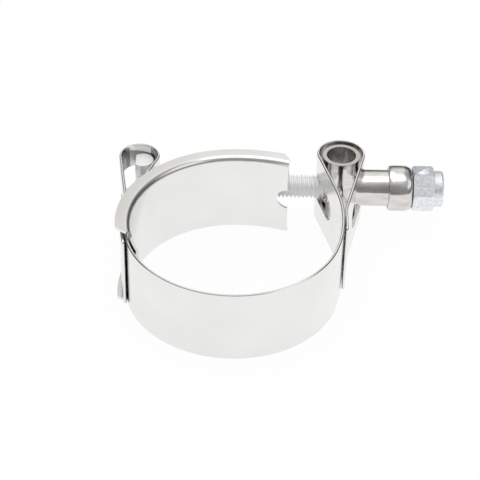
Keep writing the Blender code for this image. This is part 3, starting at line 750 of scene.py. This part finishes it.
def make_trunnion():
    """The open barrel with its sleeve; the barrel's inside has the second material."""
    centre = Vector((BARREL_AXIS_X, BOLT_AXIS_Y, BAND_MID_Z))
    trunnion = cylinder("formed_trunnion", BARREL_RADIUS, BARREL_HEIGHT, centre, rings=BARREL_RINGS)
    middle = centre + Vector((SLEEVE_REACH / 2, 0.0, 0.0))
    combine(trunnion, cylinder(
        "sleeve", SLEEVE_RADIUS, SLEEVE_REACH, middle, "X", rings=SLEEVE_RINGS), "UNION")
    blend_joint(trunnion)
    combine(trunnion, cylinder(
        "bore", BARREL_RADIUS - BARREL_WALL, BARREL_HEIGHT + CUT_MARGIN, centre), "DIFFERENCE")
    combine(trunnion, cylinder(
        "sleeve_bore", SLEEVE_BORE_RADIUS, SLEEVE_REACH + CUT_MARGIN,
        middle + Vector((CUT_MARGIN / 2, 0.0, 0.0)), "X"), "DIFFERENCE")
    combine(trunnion, cylinder(
        "hole", BOLT_HOLE_RADIUS, 2 * BARREL_RADIUS,
        centre - Vector((BARREL_RADIUS, 0.0, 0.0)), "X"), "DIFFERENCE")
    soften(trunnion, TRUNNION_EDGE, FINE_EDGE_STEPS, TRUNNION_EDGE_ANGLE)
    bore = BARREL_RADIUS - BARREL_WALL / 2
    for face in trunnion.data.polygons:
        face.material_index = 1 if (face.center - centre).xy.length < bore else 0
    return settle_normals(trunnion)


def make_cap():
    """The stamped cap, whose wall draws in a little towards its mouth."""
    inner_end = CAP_END_X - CAP_END_WALL
    crown = []
    for i in range(CROWN_STEPS + 1):
        share = i / CROWN_STEPS
        crown.append((CAP_RADIUS - CAP_CROWN * share ** 2, CAP_START_X + CAP_CROWN_RUN * (1.0 - share)))
    cap = turned("stamped_cap", [
        (BOLT_HOLE_RADIUS, CAP_END_X),
        *rounded_edge(
            CAP_RADIUS - CAP_SHOULDER_STEP, CAP_RADIUS, CAP_END_X, CAP_SHOULDER, SHOULDER_STEPS),
        *crown,
        (CAP_INNER_RADIUS, CAP_START_X),
        (CAP_INNER_RADIUS, inner_end - CAP_SHOULDER / 2),
        (CAP_INNER_RADIUS - CAP_INNER_STEP, inner_end),
        (BOLT_HOLE_RADIUS, inner_end),
    ], closed=True)
    soften(cap, CAP_EDGE, FINE_EDGE_STEPS, CAP_EDGE_ANGLE)
    return settle_normals(cap)


# Lock nut

def make_nut():
    """The nut with its collar and pocket, and the place along X where the nylon ring starts."""
    collar_start = NUT_START_X + NUT_HEX_LENGTH
    nut_end = NUT_START_X + NUT_LENGTH
    bm = bmesh.new()
    bmesh.ops.create_cone(
        bm, cap_ends=True, segments=6, radius1=NUT_CORNER_RADIUS, radius2=NUT_CORNER_RADIUS,
        depth=NUT_HEX_LENGTH)
    turn = Matrix.Rotation(math.pi / 2 - NUT_FLAT_TILT, 4, "X") @ Matrix.Rotation(math.pi / 2, 4, "Y")
    centre = BOLT_LINE + Vector((NUT_START_X + NUT_HEX_LENGTH / 2, 0.0, 0.0))
    bmesh.ops.transform(bm, matrix=Matrix.Translation(centre) @ turn, verts=bm.verts)
    nut = add_object("collared_nut", mesh_from(bm, "collared_nut"))

    drop = NUT_CHAMFER * math.tan(NUT_CHAMFER_SLOPE)
    combine(nut, turned("chamfers", [
        (0.0, collar_start + drop),
        (NUT_CORNER_RADIUS - 2 * NUT_CHAMFER, collar_start + drop),
        (NUT_CORNER_RADIUS + NUT_CHAMFER, collar_start - 2 * drop),
        (NUT_CORNER_RADIUS + NUT_CHAMFER, NUT_START_X + 2 * drop),
        (NUT_CORNER_RADIUS - 2 * NUT_CHAMFER, NUT_START_X - drop),
        (0.0, NUT_START_X - drop),
    ]), "INTERSECT")

    combine(nut, turned("collar", [
        (0.0, nut_end),
        *rounded_edge(
            NUT_COLLAR_RADIUS - NUT_COLLAR_ROUNDING, NUT_COLLAR_RADIUS, nut_end,
            NUT_COLLAR_ROUNDING, COLLAR_STEPS),
        (NUT_COLLAR_RADIUS, collar_start - NUT_CHAMFER),
        (0.0, collar_start - NUT_CHAMFER),
    ]), "UNION")

    pocket_end = nut_end - RING_LIP
    pocket_start = pocket_end - RING_LENGTH - RING_GAP
    combine(nut, turned("bore", [
        (0.0, nut_end + CUT_MARGIN),
        (RING_INNER_RADIUS + RING_WALL / 2, nut_end + CUT_MARGIN),
        (RING_INNER_RADIUS + RING_WALL / 2, pocket_end),
        (RING_POCKET_RADIUS, pocket_end),
        (RING_POCKET_RADIUS, pocket_start),
        (NUT_BORE_RADIUS, pocket_start),
        (NUT_BORE_RADIUS, NUT_START_X - CUT_MARGIN),
        (0.0, NUT_START_X - CUT_MARGIN),
    ]), "DIFFERENCE")
    soften(nut, NUT_EDGE, FINE_EDGE_STEPS, NUT_EDGE_ANGLE)
    return settle_normals(nut), pocket_start + RING_GAP / 2


def make_nylon_ring(start_x):
    """The locking ring in the nut's pocket."""
    ring = turned("locking_ring", [
        (RING_INNER_RADIUS, start_x + RING_LENGTH),
        (RING_OUTER_RADIUS, start_x + RING_LENGTH),
        (RING_OUTER_RADIUS, start_x),
        (RING_INNER_RADIUS, start_x),
    ], closed=True)
    soften(ring, NYLON_EDGE, FINE_EDGE_STEPS)
    return settle_normals(ring)


# Materials

EVEN = (1.0, 1.0, 1.0)
NOISE_SPAN = (0.25, 0.75)
TINT_STOPS = (0.3, 0.7)


def new_material(name):
    """A material, its node tree and its shader."""
    material = bpy.data.materials.new(name)
    material.use_nodes = True
    return material, material.node_tree, material.node_tree.nodes["Principled BSDF"]


def noise(tree, scale, detail, stretch):
    """A noise over the piece's own space, stretched along its axes."""
    place = tree.nodes.new("ShaderNodeTexCoord")
    mapping = tree.nodes.new("ShaderNodeMapping")
    mapping.inputs["Scale"].default_value = stretch
    texture = tree.nodes.new("ShaderNodeTexNoise")
    texture.inputs["Scale"].default_value = scale
    texture.inputs["Detail"].default_value = detail
    tree.links.new(place.outputs["Object"], mapping.inputs["Vector"])
    tree.links.new(mapping.outputs["Vector"], texture.inputs["Vector"])
    return texture.outputs["Fac"]


def remap(tree, value, low, high):
    """The usual span of a noise, spread between two values."""
    node = tree.nodes.new("ShaderNodeMapRange")
    node.inputs["From Min"].default_value = NOISE_SPAN[0]
    node.inputs["From Max"].default_value = NOISE_SPAN[1]
    node.inputs["To Min"].default_value = low
    node.inputs["To Max"].default_value = high
    tree.links.new(value, node.inputs["Value"])
    return node.outputs["Result"]


def tint(tree, value, dark, light):
    """A colour between two, by a noise."""
    ramp = tree.nodes.new("ShaderNodeValToRGB")
    for element, stop, colour in zip(ramp.color_ramp.elements, TINT_STOPS, (dark, light)):
        element.color = (*colour, 1.0)
        element.position = stop
    tree.links.new(value, ramp.inputs["Fac"])
    return ramp.outputs["Color"]


def bump(tree, shader, height, distance, strength):
    """A fine relief of the surface, by a noise."""
    node = tree.nodes.new("ShaderNodeBump")
    node.inputs["Distance"].default_value = distance
    node.inputs["Strength"].default_value = strength
    tree.links.new(height, node.inputs["Height"])
    tree.links.new(node.outputs["Normal"], shader.inputs["Normal"])


def grained(name, grain, tints, roughness, metallic=1.0, relief=None):
    """A material whose colour and roughness follow one noise, with a relief where one is given."""
    material, tree, shader = new_material(name)
    shader.inputs["Metallic"].default_value = metallic
    value = noise(tree, *grain)
    tree.links.new(tint(tree, value, *tints), shader.inputs["Base Color"])
    tree.links.new(remap(tree, value, *roughness), shader.inputs["Roughness"])
    if relief:
        bump(tree, shader, value, *relief)
    return material


def satin_steel():
    """Rolled stainless strip: fine lines along the strip, at constant z."""
    material, tree, shader = new_material("satin_stainless")
    shader.inputs["Metallic"].default_value = 1.0
    lines = noise(tree, 90.0, 4.0, (1.0, 1.0, 160.0))
    clouds = noise(tree, 60.0, 3.0, EVEN)
    colour = tint(tree, clouds, (0.82, 0.815, 0.805), (0.88, 0.875, 0.865))
    tree.links.new(colour, shader.inputs["Base Color"])
    tree.links.new(remap(tree, lines, 0.17, 0.25), shader.inputs["Roughness"])
    bump(tree, shader, lines, 0.003 * MM, 0.35)
    return material


def painted_shade_steel():
    """Inner faces of the folded strip, painted dark: painted shade in the loops and under the legs."""
    # Both tints are painted shade, well darker than the satin strip.
    tints = ((0.20, 0.19, 0.18), (0.46, 0.45, 0.43))
    return grained("painted_shade_stainless", (300.0, 3.0, EVEN), tints, (0.20, 0.32))


def polished_steel():
    """The trunnion's and the cap's formed steel, a little uneven."""
    tints = ((0.60, 0.575, 0.55), (0.84, 0.825, 0.81))
    grain = (300.0, 3.0, (0.5, 1.6, 1.6))
    return grained("polished_steel", grain, tints, (0.10, 0.20), relief=(0.1 * MM, 0.6))


def bored_steel():
    """Drawn inside of the trunnion's barrel: the same steel, rougher and a little darker."""
    tints = ((0.58, 0.56, 0.535), (0.68, 0.66, 0.64))
    return grained("bored_steel", (150.0, 3.0, (6.0, 6.0, 0.4)), tints, (0.20, 0.30))


def pale_zinc():
    """The bolt's zinc, which is paler and less metallic than the nut's."""
    tints = ((0.93, 0.935, 0.94), (0.98, 0.98, 0.98))
    return grained("pale_zinc", (1500.0, 3.0, EVEN), tints, (0.34, 0.50), metallic=0.4)


def zinc_plate():
    """The nut's bluish, finely speckled zinc."""
    tints = ((0.70, 0.735, 0.79), (0.98, 0.985, 1.0))
    grain = (1500.0, 3.0, EVEN)
    return grained("bright_zinc", grain, tints, (0.34, 0.50), metallic=0.8, relief=(0.02 * MM, 0.5))


def nylon():
    """The locking ring's pale nylon, which lets a little light in."""
    material, tree, shader = new_material("locking_nylon")
    shader.inputs["Subsurface Weight"].default_value = 0.1
    shader.inputs["Subsurface Scale"].default_value = 0.3 * MM
    grain = noise(tree, 900.0, 2.0, EVEN)
    colour = tint(tree, grain, (0.78, 0.79, 0.77), (0.85, 0.86, 0.84))
    tree.links.new(colour, shader.inputs["Base Color"])
    tree.links.new(remap(tree, grain, 0.40, 0.52), shader.inputs["Roughness"])
    return material


# Studio

CAMERA_SPOT = Vector((0.0, -298.55, 247.9)) * MM
CAMERA_PITCH = math.radians(38.0)
CAMERA_YAW = math.radians(0.31)
CAMERA_ROLL = math.radians(1.30)
CAMERA_LENS = 120.0
CAMERA_SENSOR = 36.0
CAMERA_NEAR = 0.01
CAMERA_FAR = 10.0

# Half the floor's side, its drop under the part, and the share of white that rays see in it
FLOOR_HALF = 1.0
FLOOR_DROP = 0.02 * MM
FLOOR_COLOUR = (0.85, 0.85, 0.85, 1.0)
FLOOR_ROUGHNESS = 0.9
FLOOR_SEEN_SHARE = 0.96
FLOOR_MIRRORED_SHARE = 0.92

LAMP_SPOT = (-0.08, 0.15, 0.9)
LAMP_WIDTH = 0.5
LAMP_DEPTH = 1.0
LAMP_ENERGY = 1.5

# What the metal mirrors, as (height of a direction, colour) stops from straight down to straight up
WHITE = (1.0, 1.0, 1.0)
ROOM_LEVELS = {
    "front": (
        (-1.0, WHITE), (0.0, WHITE), (0.03, (0.25, 0.245, 0.24)), (0.37, (0.28, 0.275, 0.27)),
        (0.56, (0.30, 0.30, 0.30)), (0.72, (0.38, 0.38, 0.38)), (0.85, (0.55, 0.55, 0.55)),
        (1.0, (0.80, 0.80, 0.80))),
    "front_left": (
        (-1.0, WHITE), (0.40, WHITE), (0.52, (0.28, 0.28, 0.28)), (0.85, (0.45, 0.45, 0.45)),
        (1.0, (0.85, 0.85, 0.85))),
    "front_right": (
        (-1.0, WHITE), (0.0, WHITE), (0.03, (0.20, 0.20, 0.20)), (0.36, (0.20, 0.20, 0.20)),
        (0.46, WHITE)),
    "far_left": (
        (-1.0, WHITE), (-0.12, WHITE), (0.0, (0.10, 0.10, 0.10)), (0.85, (0.12, 0.12, 0.12)),
        (0.97, WHITE)),
    "back_left": (
        (-1.0, WHITE), (-0.12, (0.6, 0.6, 0.6)), (0.0, (0.16, 0.155, 0.15)),
        (0.22, (0.12, 0.115, 0.11)), (0.50, (0.60, 0.59, 0.57)), (0.64, (0.80, 0.78, 0.745)),
        (0.80, WHITE)),
    "back": (
        (-1.0, WHITE), (-0.12, (0.6, 0.6, 0.6)), (0.0, (0.16, 0.155, 0.15)),
        (0.22, (0.12, 0.115, 0.11)), (0.50, (0.84, 0.835, 0.82)), (0.60, (1.0, 0.995, 0.985)),
        (0.80, WHITE)),
    "back_side": (
        (-1.0, WHITE), (-0.25, (0.5, 0.5, 0.5)), (-0.12, (0.06, 0.06, 0.06)),
        (0.40, (0.07, 0.065, 0.06)), (0.55, (0.50, 0.49, 0.47)), (0.64, (0.62, 0.61, 0.59)),
        (0.85, (0.45, 0.44, 0.43)), (1.0, (0.8, 0.8, 0.8))),
    "back_right": (
        (-1.0, WHITE), (-0.12, (0.6, 0.6, 0.6)), (0.0, (0.10, 0.10, 0.10)),
        (0.56, (0.10, 0.10, 0.10)), (0.68, (0.32, 0.31, 0.30)), (0.90, (0.38, 0.37, 0.36)),
        (1.0, (0.8, 0.8, 0.8))),
}

# Where one part of the room passes into the next, as X or, between front and back, Y of a direction
FRONT_LEFT_EDGE = (-0.58, -0.42)
FRONT_RIGHT_EDGE = (0.42, 0.58)
BACK_LEFT_EDGE = (-0.07, 0.0)
FAR_LEFT_EDGE = (-0.24, -0.12)
BACK_SIDE_EDGE = (0.10, 0.22)
BACK_RIGHT_EDGE = (0.36, 0.50)
FRONT_BACK_EDGE = (-0.12, 0.12)


def make_camera():
    """The camera at the photograph's angle, level but for a small roll."""
    data = bpy.data.cameras.new("camera")
    data.lens = CAMERA_LENS
    data.sensor_width = CAMERA_SENSOR
    data.clip_start = CAMERA_NEAR
    data.clip_end = CAMERA_FAR
    camera = bpy.data.objects.new("camera", data)
    bpy.context.scene.collection.objects.link(camera)
    flat = math.cos(CAMERA_PITCH)
    forward = Vector((
        math.sin(CAMERA_YAW) * flat, math.cos(CAMERA_YAW) * flat, -math.sin(CAMERA_PITCH)))
    right = Vector((math.cos(CAMERA_YAW), -math.sin(CAMERA_YAW), 0.0))
    up = right.cross(forward)
    right_turned = right * math.cos(CAMERA_ROLL) + up * math.sin(CAMERA_ROLL)
    up_turned = up * math.cos(CAMERA_ROLL) - right * math.sin(CAMERA_ROLL)
    turn = Matrix((right_turned, up_turned, -forward)).transposed().to_4x4()
    camera.matrix_world = Matrix.Translation(CAMERA_SPOT + ORIGIN) @ turn
    bpy.context.scene.camera = camera


def ray_switch(tree, *kinds):
    """1 for rays of any of these kinds, 0 for the rest."""
    path = tree.nodes.new("ShaderNodeLightPath")
    value = path.outputs[kinds[0]]
    for kind in kinds[1:]:
        node = tree.nodes.new("ShaderNodeMath")
        node.operation = "MAXIMUM"
        tree.links.new(value, node.inputs[0])
        tree.links.new(path.outputs[kind], node.inputs[1])
        value = node.outputs["Value"]
    return value


def scaled_switch(tree, top, *kinds):
    """The given share for rays of any of these kinds, 0 for the rest."""
    node = tree.nodes.new("ShaderNodeMapRange")
    node.inputs["To Min"].default_value = 0.0
    node.inputs["To Max"].default_value = top
    tree.links.new(ray_switch(tree, *kinds), node.inputs["Value"])
    return node.outputs["Result"]


def make_floor():
    """A pale floor that the camera and the metal see as almost white, with the part's shadow."""
    bm = bmesh.new()
    bmesh.ops.create_grid(bm, x_segments=1, y_segments=1, size=FLOOR_HALF)
    floor = add_object("floor", mesh_from(bm, "floor"))
    floor.location = (0.0, 0.0, -FLOOR_DROP)
    material, tree, shader = new_material("studio_floor")
    shader.inputs["Base Color"].default_value = FLOOR_COLOUR
    shader.inputs["Roughness"].default_value = FLOOR_ROUGHNESS
    glow = tree.nodes.new("ShaderNodeEmission")
    glow.inputs["Color"].default_value = (*WHITE, 1.0)
    glow.inputs["Strength"].default_value = 1.0
    total = tree.nodes.new("ShaderNodeMath")
    total.operation = "MAXIMUM"
    seen = scaled_switch(tree, FLOOR_SEEN_SHARE, "Is Camera Ray", "Is Transmission Ray")
    tree.links.new(seen, total.inputs[0])
    tree.links.new(scaled_switch(tree, FLOOR_MIRRORED_SHARE, "Is Glossy Ray"), total.inputs[1])
    mix = tree.nodes.new("ShaderNodeMixShader")
    tree.links.new(total.outputs["Value"], mix.inputs["Fac"])
    tree.links.new(shader.outputs["BSDF"], mix.inputs[1])
    tree.links.new(glow.outputs["Emission"], mix.inputs[2])
    tree.links.new(mix.outputs["Shader"], tree.nodes["Material Output"].inputs["Surface"])
    floor.data.materials.append(material)


def level_ramp(tree, height, stops):
    """Brightness by the height of a direction, from straight down to straight up."""
    node = tree.nodes.new("ShaderNodeMapRange")
    node.inputs["From Min"].default_value = -1.0
    node.inputs["From Max"].default_value = 1.0
    tree.links.new(height, node.inputs["Value"])
    ramp = tree.nodes.new("ShaderNodeValToRGB")
    elements = ramp.color_ramp.elements
    while len(elements) < len(stops):
        elements.new(0.5)
    for element, (level, colour) in zip(elements, stops):
        element.position = (level + 1.0) / 2.0
        element.color = (*colour, 1.0)
    tree.links.new(node.outputs["Result"], ramp.inputs["Fac"])
    return ramp.outputs["Color"]


def blend_by(tree, value, edge, first, second):
    """The first colour where value is under the edge's start, the second where it is past its end."""
    share = tree.nodes.new("ShaderNodeMapRange")
    share.inputs["From Min"].default_value = edge[0]
    share.inputs["From Max"].default_value = edge[1]
    tree.links.new(value, share.inputs["Value"])
    mix = tree.nodes.new("ShaderNodeMix")
    mix.data_type = "RGBA"
    tree.links.new(share.outputs["Result"], mix.inputs["Factor"])
    tree.links.new(first, mix.inputs["A"])
    tree.links.new(second, mix.inputs["B"])
    return mix.outputs["Result"]


def make_world():
    """A white room, in which the metal mirrors brighter and darker parts."""
    world = bpy.data.worlds.new("studio")
    bpy.context.scene.world = world
    world.use_nodes = True
    tree = world.node_tree
    place = tree.nodes.new("ShaderNodeTexCoord")
    axes = tree.nodes.new("ShaderNodeSeparateXYZ")
    tree.links.new(place.outputs["Generated"], axes.inputs["Vector"])
    part = {name: level_ramp(tree, axes.outputs["Z"], stops) for name, stops in ROOM_LEVELS.items()}
    across = axes.outputs["X"]
    front = blend_by(tree, across, FRONT_LEFT_EDGE, part["front_left"], part["front"])
    front = blend_by(tree, across, FRONT_RIGHT_EDGE, front, part["front_right"])
    back = blend_by(tree, across, BACK_LEFT_EDGE, part["back_left"], part["back"])
    back = blend_by(tree, across, FAR_LEFT_EDGE, part["far_left"], back)
    back = blend_by(tree, across, BACK_SIDE_EDGE, back, part["back_side"])
    back = blend_by(tree, across, BACK_RIGHT_EDGE, back, part["back_right"])
    room = blend_by(tree, axes.outputs["Y"], FRONT_BACK_EDGE, front, back)

    mirrored_room = tree.nodes.new("ShaderNodeBackground")
    tree.links.new(room, mirrored_room.inputs["Color"])
    plain = tree.nodes.new("ShaderNodeBackground")
    plain.inputs["Color"].default_value = (*WHITE, 1.0)
    plain.inputs["Strength"].default_value = 1.0
    mix = tree.nodes.new("ShaderNodeMixShader")
    tree.links.new(ray_switch(tree, "Is Glossy Ray", "Is Transmission Ray"), mix.inputs["Fac"])
    tree.links.new(plain.outputs["Background"], mix.inputs[1])
    tree.links.new(mirrored_room.outputs["Background"], mix.inputs[2])
    tree.links.new(mix.outputs["Shader"], tree.nodes["World Output"].inputs["Surface"])


def make_lamp():
    """One large soft lamp overhead, turned to the part."""
    data = bpy.data.lights.new("overhead", "AREA")
    data.shape = "RECTANGLE"
    data.size = LAMP_WIDTH
    data.size_y = LAMP_DEPTH
    data.energy = LAMP_ENERGY
    lamp = bpy.data.objects.new("overhead", data)
    bpy.context.scene.collection.objects.link(lamp)
    lamp.location = LAMP_SPOT
    lamp.rotation_euler = (-Vector(LAMP_SPOT)).to_track_quat("-Z", "Y").to_euler()


# Assembly

def dress(item, body, node, slot, *materials):
    """Give a piece its materials and its place, and let it ride its body in the node's stead."""
    places = [face.material_index for face in item.data.polygons]
    item.data.materials.clear()
    for material in materials:
        item.data.materials.append(material)
    for face, place in zip(item.data.polygons, places):
        face.material_index = min(place, len(materials) - 1)
    item.location = ORIGIN
    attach(item, body)
    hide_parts(node)


def main():
    bpy.context.scene.view_settings.view_transform = "Standard"
    steel = satin_steel()
    formed = polished_steel()
    # The band's second material is painted shade on the loops' inner walls and the legs' undersides.
    dress(make_band(), "clamp", "band", "band_steel", steel, painted_shade_steel())
    dress(make_bridge(), "clamp", "bridge", "band_steel", steel)
    dress(make_bolt(), "bolt", "t_bolt", "zinc_plate", pale_zinc())
    dress(make_trunnion(), "trunnion", "trunnion", "formed_steel", formed, bored_steel())
    dress(make_cap(), "cap", "sleeve_cap", "formed_steel", formed)
    nut, ring_start = make_nut()
    dress(nut, "nut", "lock_nut", "zinc_plate", zinc_plate())
    dress(make_nylon_ring(ring_start), "nut", "nylon_ring", "nylon", nylon())
    make_floor()
    make_world()
    make_lamp()
    make_camera()
    bpy.context.view_layer.update()


main()
